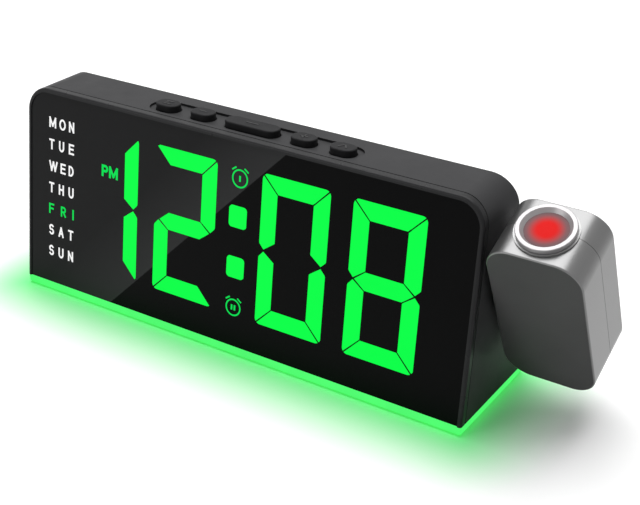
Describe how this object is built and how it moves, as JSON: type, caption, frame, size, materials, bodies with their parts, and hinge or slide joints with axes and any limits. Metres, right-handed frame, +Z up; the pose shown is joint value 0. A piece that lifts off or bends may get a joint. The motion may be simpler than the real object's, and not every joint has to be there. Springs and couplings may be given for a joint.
{
  "type": "projection alarm clock",
  "caption": "Wedge-shaped digital alarm clock with lit segment display, glowing base ring, top buttons and a tilting projector head with focus ring.",
  "frame": {"origin": "on the table, under the middle of the overall box", "axes": "+X to the clock's right as seen from the front, +Y to its back, +Z up"},
  "size_m": [0.2124, 0.0455, 0.0767],
  "materials": {
    "housing_plastic": "satin",
    "bezel_plastic": "gloss",
    "smoked_window": "gloss",
    "white_plastic": "matte",
    "circuit_board": "satin",
    "lamp_resin": "gloss",
    "chip_resin": "matte",
    "lit_segment": "lit",
    "unlit_segment": "gloss",
    "light_ring": "lit",
    "base_plastic": "matte",
    "foot_rubber": "matte",
    "screw_steel": "satin",
    "rear_plastic": "textured",
    "cell_steel": "polished",
    "contact_metal": "satin",
    "socket_steel": "satin",
    "hinge_nylon": "satin",
    "button_plastic": "satin",
    "door_plastic": "textured",
    "head_front_silver": "satin",
    "head_rear_silver": "satin",
    "hinge_black": "satin",
    "bezel_silver": "satin",
    "tunnel_black": "matte",
    "slide_film": "gloss",
    "clear_lens": "polished",
    "ring_chrome": "satin",
    "red_lens": "polished"
  },
  "bodies": {
    "clock_body": {"housing": "housing_plastic", "front_bezel": "bezel_plastic", "front_window": "smoked_window", "display_frame": "white_plastic", "display_board": "circuit_board", "display_leds": "lamp_resin", "controller_chip": "chip_resin", "segments_hour_tens": "lit_segment", "segments_hour_ones": "lit_segment", "segments_minute_tens": "lit_segment", "segments_minute_ones": "lit_segment", "segments_unlit": "unlit_segment", "colon_dots": "lit_segment", "base_light_ring": "light_ring", "base_plate": "base_plastic", "rubber_feet": "foot_rubber", "base_screws": "screw_steel", "night_light_board": "circuit_board", "night_light_leds": "lamp_resin", "tact_switches": "chip_resin", "key_board": "circuit_board", "key_board_screws": "screw_steel", "rear_cover": "rear_plastic", "rear_screws": "screw_steel", "backup_cell": "cell_steel", "cell_contact": "contact_metal", "buzzer": "chip_resin", "power_socket": "socket_steel", "socket_board": "circuit_board", "hinge_bush": "hinge_nylon"},
    "set_button_body": {"set_button": "button_plastic"},
    "minus_button_body": {"minus_button": "button_plastic"},
    "snooze_button_body": {"snooze_button": "button_plastic"},
    "plus_button_body": {"plus_button": "button_plastic"},
    "projection_button_body": {"projection_button": "button_plastic"},
    "projector_head": {"head_front_shell": "head_front_silver", "head_rear_shell": "head_rear_silver", "hinge_spindle": "hinge_black", "hinge_washer": "screw_steel", "hinge_nut": "screw_steel", "lens_bezel": "bezel_silver", "light_tunnel": "tunnel_black", "projector_board": "circuit_board", "projector_led": "lamp_resin", "projector_slide": "slide_film", "condenser_lens": "clear_lens"},
    "focus_group": {"focus_ring": "ring_chrome", "projection_lens": "red_lens", "focus_keeper": "tunnel_black"},
    "battery_door_body": {"battery_door": "door_plastic"}
  },
  "joints": [
    {"name": "set_button_press", "type": "slide", "parent": "clock_body", "child": "set_button_body", "axis": [0, 0, -1], "range_m": [0, 0.0006], "stiffness_N_per_m": 400, "springref_m": -0.0005},
    {"name": "minus_button_press", "type": "slide", "parent": "clock_body", "child": "minus_button_body", "axis": [0, 0, -1], "range_m": [0, 0.0006], "stiffness_N_per_m": 400, "springref_m": -0.0005},
    {"name": "snooze_button_press", "type": "slide", "parent": "clock_body", "child": "snooze_button_body", "axis": [0, 0, -1], "range_m": [0, 0.0006], "stiffness_N_per_m": 400, "springref_m": -0.0005},
    {"name": "plus_button_press", "type": "slide", "parent": "clock_body", "child": "plus_button_body", "axis": [0, 0, -1], "range_m": [0, 0.0006], "stiffness_N_per_m": 400, "springref_m": -0.0005},
    {"name": "projection_button_press", "type": "slide", "parent": "clock_body", "child": "projection_button_body", "axis": [0, 0, -1], "range_m": [0, 0.0006], "stiffness_N_per_m": 400, "springref_m": -0.0005},
    {"name": "projector_tilt", "type": "hinge", "parent": "clock_body", "child": "projector_head", "pos_m": [0.07505, 0.00106, 0.043], "axis": [1, 0, 0], "range_deg": [-110, 65]},
    {"name": "focus_turn", "type": "hinge", "parent": "projector_head", "child": "focus_group", "pos_m": [0.0912, -0.01063, 0.06938], "axis": [0, -0.4051, 0.9143], "range_deg": [-60, 60]},
    {"name": "battery_door_lift", "type": "slide", "parent": "clock_body", "child": "battery_door_body", "axis": [0, 0.9813, 0.1927], "range_m": [0, 0.012]}
  ]
}
